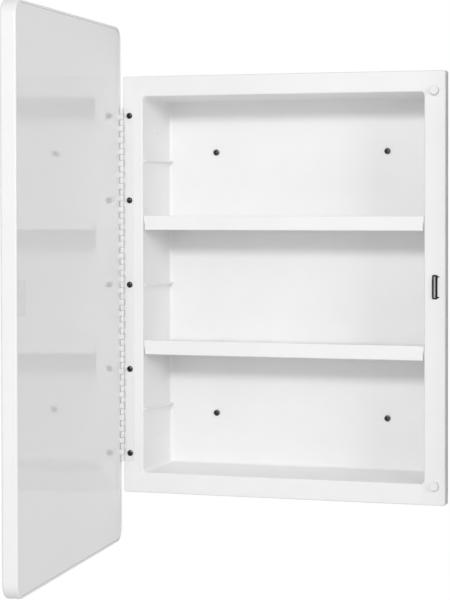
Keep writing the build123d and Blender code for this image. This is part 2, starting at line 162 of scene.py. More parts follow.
# %% Moulded finishes
shelf_plastic = moulded("moulded_shelf_white", "F4F4F4", "F1F1F1", 0.34, 1.4, 0.015)
bumper_rubber = moulded("silicone_bumper", "F0F0F0", "EAEAEA", 0.42, 0.8, 0.02, 8)
finishes = {
    "cabinet_body": moulded("moulded_polystyrene_white", "F3F3F3", "F0F0F0", 0.38, 1.6, 0.02),
    "upper_shelf": shelf_plastic,
    "lower_shelf": shelf_plastic,
    "door_frame": moulded("gloss_abs_rim", "F5F5F5", "F2F2F2", 0.2, 4.0, 0.01),
    "upper_bumper": bumper_rubber,
    "lower_bumper": bumper_rubber,
    "catch_housing": moulded("moulded_black_abs", "121213", "0B0B0C", 0.42, 0.7, 0.03, 6),
    "catch_magnets": moulded("ferrite_magnet", "1A1A1B", "101011", 0.6, 0.5, 0.04, 2),
    "door_core": moulded("honeycomb_paper", "B08D62", "94724A", 0.9, 3.0, 0.2, 9),
    "mirror_tapes": moulded("foam_tape", "ECECEA", "DADAD8", 0.8, 1.0, 0.08, 6),
}
print(len(finishes), "solids have a moulded finish")

# %% [markdown]
# ## Enamel on sheet steel
#
# The door's inner panel, the hinge and the strike plate are steel with a baked white enamel. The
# enamel is glossy, so at a low angle it mirrors the box, and it dries with a soft ripple a few
# millimetres long, known as orange peel. A wide, very low noise stands for the slight bow of
# a thin sheet, which bends what it mirrors.

# %% Enamelled steel material
def enamelled(name, code, shade, roughness, peel_mm, peel_height_mm, bow_mm=0.0):
    material, tree, surface, place = start_material(name)
    tone = add(tree, "ShaderNodeTexNoise", {"Scale": 9.0, "Detail": 2.0}, {"Vector": place})
    colour = add(tree, "ShaderNodeMix", {"A": linear(shade), "B": linear(code)},
                 {"Factor": tone.outputs["Fac"]}, data_type="RGBA")
    peel = add(tree, "ShaderNodeTexNoise", {"Scale": per_metre(peel_mm), "Detail": 1.0}, {"Vector": place})
    bump = add(tree, "ShaderNodeBump", {"Strength": 0.4, "Distance": peel_height_mm * MM},
               {"Height": peel.outputs["Fac"]})
    if bow_mm:
        bow = add(tree, "ShaderNodeTexNoise", {"Scale": 5.0, "Detail": 0.0}, {"Vector": place})
        wide = add(tree, "ShaderNodeBump", {"Strength": 1.0, "Distance": bow_mm * MM},
                   {"Height": bow.outputs["Fac"]})
        wire(tree, bump, {"Normal": wide.outputs["Normal"]})
    smear = add(tree, "ShaderNodeMapRange", {"To Min": roughness * 0.7, "To Max": roughness * 1.3},
                {"Value": tone.outputs["Fac"]})
    wire(tree, surface, {"Base Color": colour.outputs["Result"], "Roughness": smear.outputs["Result"],
                         "Normal": bump.outputs["Normal"]})
    return material


strike_enamel = enamelled("enamelled_strike", "F2F2F2", "EEEEEE", 0.25, 3.0, 0.01)
hinge_enamel = enamelled("enamelled_hinge", "EFEFEF", "E9E9E9", 0.3, 2.0, 0.01)
finishes["door_liner"] = enamelled("enamelled_steel_panel", "F9F9F9", "F7F7F7", 0.05, 6.0, 0.006, 0.5)
finishes["strike_plate"] = strike_enamel
finishes["strike_rivets"] = strike_enamel
finishes["hinge_cabinet_leaf"] = hinge_enamel
finishes["hinge_door_leaf"] = hinge_enamel
print("the enamel's ripple is 2 to 6 mm long")

# %% [markdown]
# ## Plated metal
#
# The hinge's visible screws are bright nickel-plated steel. Their base colour is painted near black, a
# painted dark reflection of surroundings that the white room doesn't have. The wall screws have a duller
# plating, and their base colour is painted dark grey for the same painted reflection. The hidden screws, the
# pin and the catch's pole plate are zinc-plated.
# Metal has no colour but that of what it mirrors, so its roughness does the work: fine turning or
# rolling lines, drawn here as noise stretched along one axis, spread its highlights across them.

# %% Plated metal material
def plated(name, code, shade, roughness, line_mm, stretch=(1.0, 1.0, 1.0)):
    material, tree, surface, place = start_material(name)
    surface.inputs["Metallic"].default_value = 1.0
    turned = add(tree, "ShaderNodeMapping", {"Scale": stretch}, {"Vector": place})
    lines = add(tree, "ShaderNodeTexNoise", {"Scale": per_metre(line_mm), "Detail": 4.0},
                {"Vector": turned.outputs["Vector"]})
    colour = add(tree, "ShaderNodeMix", {"A": linear(shade), "B": linear(code)},
                 {"Factor": lines.outputs["Fac"]}, data_type="RGBA")
    gloss = add(tree, "ShaderNodeMapRange", {"To Min": roughness * 0.6, "To Max": roughness * 1.5},
                {"Value": lines.outputs["Fac"]})
    bump = add(tree, "ShaderNodeBump", {"Strength": 0.3, "Distance": 0.01 * MM},
               {"Height": lines.outputs["Fac"]})
    wire(tree, surface, {"Base Color": colour.outputs["Result"], "Roughness": gloss.outputs["Result"],
                         "Normal": bump.outputs["Normal"]})
    return material


# Near-black and dark grey base colours: painted dark reflection, darker than the nickel's own colour.
nickel_painted_dark = plated("nickel_screw_painted_dark", "404042", "303032", 0.2, 0.8)
wall_nickel_painted_grey = plated("nickel_wall_screw", "5E5E61", "4A4A4D", 0.32, 0.8)
finishes["cabinet_leaf_screws"] = nickel_painted_dark
finishes["wall_screws"] = wall_nickel_painted_grey
finishes["door_leaf_screws"] = plated("zinc_plated_screw", "B4B5B7", "98999C", 0.3, 0.8)
finishes["hinge_pin"] = plated("zinc_plated_pin", "B9BABC", "9FA0A3", 0.28, 1.5, (1.0, 1.0, 0.1))
finishes["catch_pole_plate"] = plated("zinc_plated_pole", "9C9C9E", "7C7C7F", 0.3, 0.6, (1.0, 1.0, 0.15))
print("plated lines are 0.6 to 1.5 mm apart, coarser than real ones so that they show")

# %% [markdown]
# ## The mirror and the layers behind it
#
# A household mirror is clear float glass with silver on its back. The eye sees the silver, so the
# pane's shader is a smooth metal with the faint green of thick glass, and a clear coat on top
# stands for the front of the glass. A noise as wide as a hand leaves a trace of wiped haze. Behind
# the pane come the silver's grey backing paint, a hardboard sheet and a pine strip for the hinge's
# screws.

# %% Mirror, hardboard and pine
def mirror_material():
    material, tree, surface, place = start_material("silvered_float_glass")
    surface.inputs["Metallic"].default_value = 1.0
    surface.inputs["Base Color"].default_value = linear("E2E8E6")
    surface.inputs["Coat Weight"].default_value = 0.6
    surface.inputs["Coat Roughness"].default_value = 0.02
    haze = add(tree, "ShaderNodeTexNoise", {"Scale": 7.0, "Detail": 5.0, "Roughness": 0.6}, {"Vector": place})
    wiped = add(tree, "ShaderNodeMapRange",
                {"From Min": 0.45, "From Max": 0.75, "To Min": 0.004, "To Max": 0.03},
                {"Value": haze.outputs["Fac"]})
    wire(tree, surface, {"Roughness": wiped.outputs["Result"]})
    return material


def fibrous(name, code, shade, fibre_mm, stretch, roughness):
    material, tree, surface, place = start_material(name)
    surface.inputs["Roughness"].default_value = roughness
    along = add(tree, "ShaderNodeMapping", {"Scale": stretch}, {"Vector": place})
    fibre = add(tree, "ShaderNodeTexNoise",
                {"Scale": per_metre(fibre_mm), "Detail": 6.0, "Distortion": 0.4},
                {"Vector": along.outputs["Vector"]})
    colour = add(tree, "ShaderNodeMix", {"A": linear(shade), "B": linear(code)},
                 {"Factor": fibre.outputs["Fac"]}, data_type="RGBA")
    bump = add(tree, "ShaderNodeBump", {"Strength": 0.4, "Distance": 0.1 * MM},
               {"Height": fibre.outputs["Fac"]})
    wire(tree, surface, {"Base Color": colour.outputs["Result"], "Normal": bump.outputs["Normal"]})
    return material


finishes["mirror_glass"] = mirror_material()
finishes["mirror_film"] = moulded("mirror_backing_paint", "8E9294", "7F8385", 0.5, 0.8, 0.01, 20)
finishes["door_backing_board"] = fibrous("hardboard", "7A5636", "5F4027", 2.0, (1.0, 1.0, 1.0), 0.8)
finishes["hinge_backing_strip"] = fibrous("planed_pine", "D8B988", "BF9862", 3.0, (1.0, 1.0, 0.06), 0.6)

# %% [markdown]
# ## Give every solid its finish
#
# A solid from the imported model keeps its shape, and only its material slots change.

# %% Assign the finishes
for name, piece in nodes.items():
    piece.data.materials.clear()
    piece.data.materials.append(finishes[name])
print("finished", len(nodes), "solids with", len(set(m.name for m in finishes.values())), "materials")

# %% [markdown]
# ## Growing a piece from a node tree
#
# Geometry Nodes suit what repeats: the tree holds one knuckle or one screw and a rule for where
# the copies go. Every tree here ends in Realize Instances and Set Material. The first helper keeps
# what modifiers or a curve make as a plain mesh. The second makes an empty tree with named inputs.
# The third sets a tree's inputs by their identifiers, evaluates it once and takes the modifier off.

# %% Helpers that grow a mesh
def frozen(holder):
    return bpy.data.meshes.new_from_object(holder.evaluated_get(bpy.context.evaluated_depsgraph_get()))


def new_tree(name, sockets):
    tree = bpy.data.node_groups.new(name, "GeometryNodeTree")
    for label, kind in sockets.items():
        tree.interface.new_socket(name=label, in_out="INPUT", socket_type="NodeSocket" + kind)
    tree.interface.new_socket(name="Result", in_out="OUTPUT", socket_type="NodeSocketGeometry")
    return tree


def grow(name, tree, sizes, seats=()):
    base = bpy.data.meshes.new(name + "_seats")
    base.from_pydata([tuple(seat) for seat in seats], [], [])
    holder = put(name + "_holder", base)
    maker = holder.modifiers.new(tree.name, "NODES")
    maker.node_group = tree
    for socket in tree.interface.items_tree:
        if socket.in_out == "INPUT" and socket.name in sizes:
            maker[socket.identifier] = sizes[socket.name]
    grown = frozen(holder)
    holder.modifiers.clear()
    bpy.data.objects.remove(holder)
    grown.name = name
    return grown


print("helpers ready")

# %% [markdown]
# ## Rolled hinge knuckles
#
# A continuous hinge is two strips of sheet steel with teeth along one edge, and each tooth is
# curled round the pin. A curled tooth isn't a plain ring: it leaves the leaf, goes most of the way
# round, and its end stands free with a slit beside it. So the section is drawn as a line of
# points, a straight leg first and then a roll, and a flat profile with rounded corners is swept
# along it. The same tree makes the teeth of both leaves. The door's teeth are turned a quarter
# and then by the door's opening.

# %% Knuckle tree: the section
ROLL_POINTS = 26
knuckle_tree = new_tree("rolled_knuckles", {
    "Count": "Int", "First": "Vector", "Pitch": "Float", "Length": "Float", "Radius": "Float",
    "Metal": "Float", "Leg": "Float", "Leg Rise": "Float", "Roll": "Float", "Turn": "Float",
    "Material": "Material"})
sized = add(knuckle_tree, "NodeGroupInput").outputs
strip = add(knuckle_tree, "GeometryNodeMeshLine", {"Count": ROLL_POINTS, "Offset": (0, 0, 0)})
number = add(knuckle_tree, "GeometryNodeInputIndex").outputs[0]
angle = add(knuckle_tree, "ShaderNodeMapRange", {"From Min": 1.0, "From Max": ROLL_POINTS - 1.0},
            {"Value": number, "To Max": sized["Roll"]}).outputs["Result"]
sine = add(knuckle_tree, "ShaderNodeMath", links={0: angle}, operation="SINE").outputs[0]
cosine = add(knuckle_tree, "ShaderNodeMath", links={0: angle}, operation="COSINE").outputs[0]
across = add(knuckle_tree, "ShaderNodeMath",
             links={0: sine, 1: sized["Radius"]}, operation="MULTIPLY").outputs[0]
along = add(knuckle_tree, "ShaderNodeMath",
            links={0: cosine, 1: sized["Radius"]}, operation="MULTIPLY").outputs[0]
is_leg = add(knuckle_tree, "ShaderNodeMath", {1: 0.5}, {0: number}, operation="LESS_THAN").outputs[0]
leg_x = add(knuckle_tree, "ShaderNodeMath",
            links={0: is_leg, 1: sized["Leg"]}, operation="MULTIPLY").outputs[0]
leg_x = add(knuckle_tree, "ShaderNodeMath", links={0: leg_x, 1: across}, operation="SUBTRACT").outputs[0]
leg_y = add(knuckle_tree, "ShaderNodeMath",
            links={0: is_leg, 1: sized["Leg Rise"], 2: along}, operation="MULTIPLY_ADD").outputs[0]
spot = add(knuckle_tree, "ShaderNodeCombineXYZ", links={"X": leg_x, "Y": leg_y}).outputs[0]
strip = add(knuckle_tree, "GeometryNodeSetPosition", links={"Geometry": strip.outputs[0], "Position": spot})
section = add(knuckle_tree, "GeometryNodeMeshToCurve", links={"Mesh": strip.outputs[0]})
section = add(knuckle_tree, "GeometryNodeSetCurveNormal", links={"Curve": section.outputs[0]}, mode="Z_UP")
print("section of", ROLL_POINTS, "points")

# %% [markdown]
# The profile is as long as the tooth is wide and as high as the steel is thick. Its corners are
# rounded by a third of a millimetre, as a tumbled and enamelled pressing's are, which draws the
# wavy line that the row of knuckles shows. One tooth is then copied up the hinge.

# %% Knuckle tree: sweep, copy and finish
TOOTH_ROUNDING = 0.32 * MM
profile = add(knuckle_tree, "GeometryNodeCurvePrimitiveQuadrilateral",
              links={"Width": sized["Metal"], "Height": sized["Length"]})
profile = add(knuckle_tree, "GeometryNodeFilletCurve", {"Count": 3, "Radius": TOOTH_ROUNDING},
              {"Curve": profile.outputs[0]}, mode="POLY")
tooth = add(knuckle_tree, "GeometryNodeCurveToMesh", {"Fill Caps": True},
            {"Curve": section.outputs[0], "Profile Curve": profile.outputs[0]})
turned = add(knuckle_tree, "ShaderNodeCombineXYZ", links={"Z": sized["Turn"]})
turned = add(knuckle_tree, "FunctionNodeEulerToRotation", links={"Euler": turned.outputs[0]})
tooth = add(knuckle_tree, "GeometryNodeTransform",
            links={"Geometry": tooth.outputs[0], "Rotation": turned.outputs[0]})
rise = add(knuckle_tree, "ShaderNodeCombineXYZ", links={"Z": sized["Pitch"]})
places = add(knuckle_tree, "GeometryNodeMeshLine",
             links={"Count": sized["Count"], "Start Location": sized["First"], "Offset": rise.outputs[0]})
copies = add(knuckle_tree, "GeometryNodeInstanceOnPoints",
             links={"Points": places.outputs[0], "Instance": tooth.outputs[0]})
whole = add(knuckle_tree, "GeometryNodeRealizeInstances", links={"Geometry": copies.outputs[0]})
whole = add(knuckle_tree, "GeometryNodeSetMaterial",
            links={"Geometry": whole.outputs[0], "Material": sized["Material"]})
add(knuckle_tree, "NodeGroupOutput", links={"Result": whole.outputs[0]})
print("knuckle tree has", len(knuckle_tree.nodes), "nodes")

# %% [markdown]
# ## The hinge's two leaves
#
# There are 61 knuckles, as on the solid hinge. The cabinet's leaf carries every odd one and lies
# flat on the flange, and its edge is notched where the door's knuckles turn. The door's leaf
# carries the even ones and hides under the inner panel, and only its neck, a strip on edge, fills
# the panel's slot below the knuckles. Each flat is a curve outline with round holes, which Blender
# fills, thickens and bevels in one step, before it becomes a mesh and is welded.

# %% Outline of a leaf
KNUCKLES = 61
HOLE_SIDES = 32
LEAF_CORNER = 0.4 * MM
pitch = hinge_length / KNUCKLES
hinge_end = hinge_length / 2
screw_low, screw_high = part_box("cabinet_leaf_screws")
screw_x = (screw_low.x + screw_high.x) / 2
leaf_screw_heights = [k * 100 * MM for k in range(-2, 3)]


def leaf_outline(x_from, x_to, hole_radius, notch):
    edge = [(x_from, -hinge_end), (x_to - LEAF_CORNER, -hinge_end), (x_to, -hinge_end + LEAF_CORNER),
            (x_to, hinge_end - LEAF_CORNER), (x_to - LEAF_CORNER, hinge_end), (x_from, hinge_end)]
    if notch:
        for k in range(KNUCKLES - 2, 0, -2):
            low, high = -hinge_end + k * pitch, -hinge_end + (k + 1) * pitch
            edge += [(x_from, high), (x_from + notch, high), (x_from + notch, low), (x_from, low)]
    turns = [k * math.tau / HOLE_SIDES for k in range(HOLE_SIDES)]
    holes = [[(screw_x + hole_radius * math.cos(a), z + hole_radius * math.sin(a)) for a in turns]
             for z in leaf_screw_heights]
    return [edge] + holes


print("knuckle pitch", round(pitch / MM, 2), "mm")

# %% Leaf plates
def leaf_plate(name, x_from, x_to, y_middle, thickness, hole_radius, notch=0.0, soft=0.1 * MM):
    outline = bpy.data.curves.new(name, "CURVE")
    outline.dimensions = "2D"
    outline.fill_mode = "BOTH"
    outline.bevel_depth = soft
    outline.offset = -soft
    outline.extrude = thickness / 2 - soft
    for loop in leaf_outline(x_from, x_to, hole_radius, notch):
        line = outline.splines.new("POLY")
        line.points.add(len(loop) - 1)
        for point, (x, z) in zip(line.points, loop):
            point.co = (x, z, 0, 1)
        line.use_cyclic_u = True
    holder = put(name, outline)
    flat = frozen(holder)
    bpy.data.objects.remove(holder)
    flat.transform(Matrix.Translation((0, y_middle, 0)) @ Matrix.Rotation(math.radians(90), 4, "X"))
    return flat


metal = 1.0 * MM
knuckle_outside, plate_below_axis = 2.7 * MM, 1.7 * MM
x_plate = axis.x + math.sqrt(knuckle_outside ** 2 - plate_below_axis ** 2)
cabinet_flat = leaf_plate("cabinet_flat", x_plate, leaf_high.x, front_y - metal / 2, metal,
                          hole_radius=1.85 * MM, notch=1.5 * MM, soft=0.22 * MM)
print("cabinet plate", len(cabinet_flat.polygons), "faces before welding")

# %% [markdown]
# Welding joins a piece's meshes into one. It merges doubled points, turns all faces outwards, and shades the
# surface smooth except across sharp edges. The finished piece then takes the given material, rides on its
# body and replaces the plain solid that it stands for, which is hidden.

# %% Weld helper
DOUBLED = 0.001 * MM
SHARP = math.radians(28)


def weld(name, meshes, material, body, slot, *stands_for):
    shape = bmesh.new()
    for mesh in meshes:
        shape.from_mesh(mesh)
    bmesh.ops.remove_doubles(shape, verts=shape.verts, dist=DOUBLED)
    bmesh.ops.recalc_face_normals(shape, faces=shape.faces)
    for face in shape.faces:
        face.smooth = True
        face.material_index = 0
    for edge in shape.edges:
        edge.smooth = len(edge.link_faces) == 2 and edge.calc_face_angle() < SHARP
    joined = bpy.data.meshes.new(name)
    shape.to_mesh(joined)
    shape.free()
    joined.materials.append(material)
    piece = put(name, joined)
    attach(piece, body)
    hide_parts(*stands_for)
    return piece


print("edges sharper than", round(math.degrees(SHARP)), "degrees stay sharp")

# %% Cabinet leaf
TOOTH_GAP, LEG_IN_PLATE = 0.4 * MM, 1.0 * MM
roll = {"Pitch": 2 * pitch, "Length": pitch - TOOTH_GAP, "Radius": 1.95 * MM, "Metal": 0.9 * MM,
        "Roll": math.radians(305), "Material": hinge_enamel}
first = pitch / 2 - hinge_end
cabinet_sizes = dict(roll, Count=31, First=(axis.x, axis.y, first),
                     Leg=x_plate - axis.x + LEG_IN_PLATE)
cabinet_sizes["Leg Rise"] = 0.25 * MM
cabinet_teeth = grow("cabinet_teeth", knuckle_tree, cabinet_sizes)
cabinet_leaf = weld("cabinet_hinge_leaf", [cabinet_flat, cabinet_teeth], hinge_enamel,
                    "cabinet", "hinge_steel", "hinge_cabinet_leaf")
print(cabinet_leaf.name, len(cabinet_leaf.data.polygons), "faces")

# %% Door leaf
DOOR_OPEN = math.radians(83.4)
leaf_drop, neck_foot, neck_top = 4.5 * MM, 0.4 * MM, 2.7 * MM
neck_left, neck_right = axis.x + 0.35 * MM, axis.x + 1.3 * MM
swing = Matrix.Translation(axis) @ Matrix.Rotation(-DOOR_OPEN, 4, "Z") @ Matrix.Translation(-axis)
door_flat = leaf_plate("door_flat", neck_left, leaf_high.x, axis.y - leaf_drop, metal,
                       hole_radius=3.2 * MM)
neck_low = (neck_left, axis.y - leaf_drop - neck_foot, -hinge_end)
neck_high = (neck_right, axis.y - neck_top, hinge_end)
neck = bmesh.new()
bmesh.ops.create_cube(neck, size=1.0)
for vert in neck.verts:
    vert.co = [low + (high - low) * (c + 0.5) for low, high, c in zip(neck_low, neck_high, vert.co)]
door_neck = bpy.data.meshes.new("door_neck")
neck.to_mesh(door_neck)
neck.free()
for mesh in (door_flat, door_neck):
    mesh.transform(swing)
door_sizes = dict(roll, Count=30, First=(axis.x, axis.y, first + pitch), Leg=leaf_drop,
                  Turn=-DOOR_OPEN - math.pi / 2)
door_sizes["Leg Rise"] = -1.2 * MM
door_teeth = grow("door_teeth", knuckle_tree, door_sizes)
door_leaf = weld("door_hinge_leaf", [door_flat, door_neck, door_teeth], hinge_enamel,
                 "door", "hinge_steel", "hinge_door_leaf")
print(door_leaf.name, len(door_leaf.data.polygons), "faces")

# %% [markdown]
# ## A turned screw with a rolled thread
#
# A screw is a body of revolution with a cross pressed into its head. The head starts as a square
# grid that is pushed into a disc, because its lines then run along the cross's arms and cut their
# walls cleanly, which the rings of a lathed head don't. The disc is raised to a pan head: a low
# cone, which mirrors a lamp in one broad streak, and a steep rounded rim. A flat copy closes it
# from below.

# %% Screw tree: the head
RIM_POWER, RIM_ROOT = 7.0, 0.4
screw_tree = new_tree("turned_screw", {
    "Seats": "Geometry", "Head Radius": "Float", "Head Height": "Float", "Head Cone": "Float",
    "Cross Width": "Float", "Cross Length": "Float", "Cross Depth": "Float",
    "Neck Radius": "Float", "Neck Length": "Float", "Thread Radius": "Float", "Core Radius": "Float",
    "Thread Pitch": "Float", "Length": "Float", "Tip": "Float", "Rings": "Int", "Seed": "Int",
    "Material": "Material"})
sized = add(screw_tree, "NodeGroupInput").outputs
place = add(screw_tree, "GeometryNodeInputPosition").outputs[0]
place = add(screw_tree, "ShaderNodeSeparateXYZ", links={0: place}).outputs
pressed = []
for one, other in (("X", "Y"), ("Y", "X")):
    square = add(screw_tree, "ShaderNodeMath",
                 links={0: place[other], 1: place[other]}, operation="MULTIPLY").outputs[0]
    shrink = add(screw_tree, "ShaderNodeMath",
                 {1: -0.5, 2: 1.0}, {0: square}, operation="MULTIPLY_ADD").outputs[0]
    shrink = add(screw_tree, "ShaderNodeMath", links={0: shrink}, operation="SQRT").outputs[0]
    pressed.append(add(screw_tree, "ShaderNodeMath",
                       links={0: place[one], 1: shrink}, operation="MULTIPLY").outputs[0])
disc = add(screw_tree, "ShaderNodeCombineXYZ", links={"X": pressed[0], "Y": pressed[1]}).outputs[0]
head_x, head_y = (add(screw_tree, "ShaderNodeMath",
                      links={0: side, 1: sized["Head Radius"]}, operation="MULTIPLY").outputs[0]
                  for side in pressed)
reach = add(screw_tree, "ShaderNodeVectorMath",
            links={0: disc, 1: disc}, operation="DOT_PRODUCT").outputs["Value"]
radius = add(screw_tree, "ShaderNodeMath", links={0: reach}, operation="SQRT").outputs[0]
fall = add(screw_tree, "ShaderNodeMath",
           links={0: radius, 1: sized["Head Cone"]}, operation="MULTIPLY").outputs[0]
cone = add(screw_tree, "ShaderNodeMath", {0: 1.0}, {1: fall}, operation="SUBTRACT").outputs[0]
dome = add(screw_tree, "ShaderNodeMath", {1: RIM_POWER}, {0: reach}, operation="POWER").outputs[0]
dome = add(screw_tree, "ShaderNodeMath", {0: 1.0}, {1: dome}, operation="SUBTRACT").outputs[0]
dome = add(screw_tree, "ShaderNodeMath", {1: 0.0}, {0: dome}, operation="MAXIMUM").outputs[0]
dome = add(screw_tree, "ShaderNodeMath", {1: RIM_ROOT}, {0: dome}, operation="POWER").outputs[0]
dome = add(screw_tree, "ShaderNodeMath", links={0: dome, 1: cone}, operation="MULTIPLY").outputs[0]
print("the dome is drawn by", len(screw_tree.nodes), "nodes")

# %% [markdown]
# Each arm of the cross is the product of two ramps, one along it and one across. A ramp is 1 over
# the arm's flat floor and falls to 0 at its edge, so the walls lean as those of a driver's tip do.

# %% Screw tree: the cross recess
EDGE_LONG, EDGE_WIDE, FLOOR_LONG, FLOOR_WIDE = 0.5, 0.55, 0.25, 0.3
HEAD_LINES = 41
half_long, half_wide, floor_long, floor_wide = (
    add(screw_tree, "ShaderNodeMath", {1: share}, {0: sized[label]}, operation="MULTIPLY").outputs[0]
    for share, label in ((EDGE_LONG, "Cross Length"), (EDGE_WIDE, "Cross Width"),
                         (FLOOR_LONG, "Cross Length"), (FLOOR_WIDE, "Cross Width")))
off_x = add(screw_tree, "ShaderNodeMath", links={0: head_x}, operation="ABSOLUTE").outputs[0]
off_y = add(screw_tree, "ShaderNodeMath", links={0: head_y}, operation="ABSOLUTE").outputs[0]
arms = []
for lengthwise, crosswise in ((off_x, off_y), (off_y, off_x)):
    ramp_long = add(screw_tree, "ShaderNodeMapRange", {"To Min": 1.0, "To Max": 0.0},
                    {"Value": lengthwise, "From Min": floor_long, "From Max": half_long}).outputs["Result"]
    ramp_wide = add(screw_tree, "ShaderNodeMapRange", {"To Min": 1.0, "To Max": 0.0},
                    {"Value": crosswise, "From Min": floor_wide, "From Max": half_wide}).outputs["Result"]
    arms.append(add(screw_tree, "ShaderNodeMath",
                    links={0: ramp_long, 1: ramp_wide}, operation="MULTIPLY").outputs[0])
cross = add(screw_tree, "ShaderNodeMath", links={0: arms[0], 1: arms[1]}, operation="MAXIMUM").outputs[0]
sunk = add(screw_tree, "ShaderNodeMath",
           links={0: cross, 1: sized["Cross Depth"]}, operation="MULTIPLY").outputs[0]
head_z = add(screw_tree, "ShaderNodeMath",
             links={0: dome, 1: sized["Head Height"]}, operation="MULTIPLY").outputs[0]
head_z = add(screw_tree, "ShaderNodeMath", links={0: head_z, 1: sunk}, operation="SUBTRACT").outputs[0]
top_at = add(screw_tree, "ShaderNodeCombineXYZ", links={"X": head_x, "Y": head_y, "Z": head_z}).outputs[0]
under_at = add(screw_tree, "ShaderNodeCombineXYZ", links={"X": head_x, "Y": head_y}).outputs[0]
sheet = add(screw_tree, "GeometryNodeMeshGrid",
            {"Size X": 2.0, "Size Y": 2.0, "Vertices X": HEAD_LINES, "Vertices Y": HEAD_LINES})
top, under = (add(screw_tree, "GeometryNodeSetPosition",
                  links={"Geometry": sheet.outputs["Mesh"], "Position": at}).outputs[0]
              for at in (top_at, under_at))
under = add(screw_tree, "GeometryNodeFlipFaces", links={"Mesh": under}).outputs[0]
print("the cross has", len(arms), "arms across each other")

# %% [markdown]
# The shank is a grid wrapped round the axis. Its radius swings between core and thread as the
# angle and the depth grow together, which makes the helix. Above it is a plain neck, and at the
# end the radius falls to nothing, which makes the tip.

# %% Screw tree: the threaded shank
SHANK_LINES, CLOSED_END = 25, 0.001
down = add(screw_tree, "ShaderNodeMath", {1: 0.5}, {0: place["X"]}, operation="ADD").outputs[0]
angle = add(screw_tree, "ShaderNodeMath", {1: math.tau}, {0: place["Y"]}, operation="MULTIPLY").outputs[0]
cosine = add(screw_tree, "ShaderNodeMath", links={0: angle}, operation="COSINE").outputs[0]
sine = add(screw_tree, "ShaderNodeMath", links={0: angle}, operation="SINE").outputs[0]
depth = add(screw_tree, "ShaderNodeMath",
            links={0: down, 1: sized["Length"]}, operation="MULTIPLY").outputs[0]
turns = add(screw_tree, "ShaderNodeMath",
            links={0: depth, 1: sized["Thread Pitch"]}, operation="DIVIDE").outputs[0]
turns = add(screw_tree, "ShaderNodeMath", links={0: turns, 1: place["Y"]}, operation="ADD").outputs[0]
ridge = add(screw_tree, "ShaderNodeMath", {1: 0.5}, {0: turns}, operation="PINGPONG").outputs[0]
thread = add(screw_tree, "ShaderNodeMapRange", {"From Max": 0.5},
             {"Value": ridge, "To Min": sized["Core Radius"], "To Max": sized["Thread Radius"]}
             ).outputs["Result"]
in_neck = add(screw_tree, "ShaderNodeMath",
              links={0: depth, 1: sized["Neck Length"]}, operation="LESS_THAN").outputs[0]
shank = add(screw_tree, "ShaderNodeMix",
            links={"Factor": in_neck, "A": thread, "B": sized["Neck Radius"]}).outputs["Result"]
to_go = add(screw_tree, "ShaderNodeMath",
            links={0: sized["Length"], 1: depth}, operation="SUBTRACT").outputs[0]
taper = add(screw_tree, "ShaderNodeMath", links={0: to_go, 1: sized["Tip"]}, operation="DIVIDE").outputs[0]
taper = add(screw_tree, "ShaderNodeMath", {1: 1.0}, {0: taper}, operation="MINIMUM").outputs[0]
below_top = add(screw_tree, "ShaderNodeMath", {1: CLOSED_END}, {0: down}, operation="GREATER_THAN").outputs[0]
shank = add(screw_tree, "ShaderNodeMath", links={0: shank, 1: taper}, operation="MULTIPLY").outputs[0]
shank = add(screw_tree, "ShaderNodeMath", links={0: shank, 1: below_top}, operation="MULTIPLY").outputs[0]
shank_x = add(screw_tree, "ShaderNodeMath", links={0: shank, 1: cosine}, operation="MULTIPLY").outputs[0]
shank_y = add(screw_tree, "ShaderNodeMath", links={0: shank, 1: sine}, operation="MULTIPLY").outputs[0]
shank_z = add(screw_tree, "ShaderNodeMath", {1: -1.0}, {0: depth}, operation="MULTIPLY").outputs[0]
shank_at = add(screw_tree, "ShaderNodeCombineXYZ",
               links={"X": shank_x, "Y": shank_y, "Z": shank_z}).outputs[0]
rod = add(screw_tree, "GeometryNodeMeshGrid",
          {"Size X": 1.0, "Size Y": 1.0, "Vertices Y": SHANK_LINES}, {"Vertices X": sized["Rings"]})
rod = add(screw_tree, "GeometryNodeSetPosition",
          links={"Geometry": rod.outputs["Mesh"], "Position": shank_at}).outputs[0]
print("screw tree has", len(screw_tree.nodes), "nodes so far")

# %% [markdown]
# No two screws are driven to the same angle, so each copy gets a turn of its own from a seeded
# random number. The quarter turn about X points every head out of the cabinet.

# %% Screw tree: weld, copy and finish
QUARTER_TURN = math.pi / 2
both = add(screw_tree, "GeometryNodeJoinGeometry")
for part in (top, under, rod):
    screw_tree.links.new(part, both.inputs[0])
tight = add(screw_tree, "GeometryNodeMergeByDistance", {"Distance": DOUBLED}, {"Geometry": both.outputs[0]})
spin = add(screw_tree, "FunctionNodeRandomValue",
           {3: QUARTER_TURN}, {"Seed": sized["Seed"]}, data_type="FLOAT")
spin = add(screw_tree, "ShaderNodeCombineXYZ", {"X": QUARTER_TURN}, {"Y": spin.outputs[1]})
spin = add(screw_tree, "FunctionNodeEulerToRotation", links={"Euler": spin.outputs[0]})
copies = add(screw_tree, "GeometryNodeInstanceOnPoints",
             links={"Points": sized["Seats"], "Instance": tight.outputs[0], "Rotation": spin.outputs[0]})
whole = add(screw_tree, "GeometryNodeRealizeInstances", links={"Geometry": copies.outputs[0]})
whole = add(screw_tree, "GeometryNodeSetMaterial",
            links={"Geometry": whole.outputs[0], "Material": sized["Material"]})
add(screw_tree, "NodeGroupOutput", links={"Result": whole.outputs[0]})
print("screw tree has", len(screw_tree.nodes), "nodes")

# %% [markdown]
# ## The screws
#
# Four large pan heads hold the box through its back wall, and five small ones hold the hinge's
# leaf to the flange. The same tree makes both, and only the sizes differ. The back wall is 2.5 mm
# thick, so the wall screws' heads sit on its inner face. The sizes are in millimetres.

# %% Screw sizes and places
def in_metres(sizes):
    return {label: value * MM for label, value in sizes.items()}


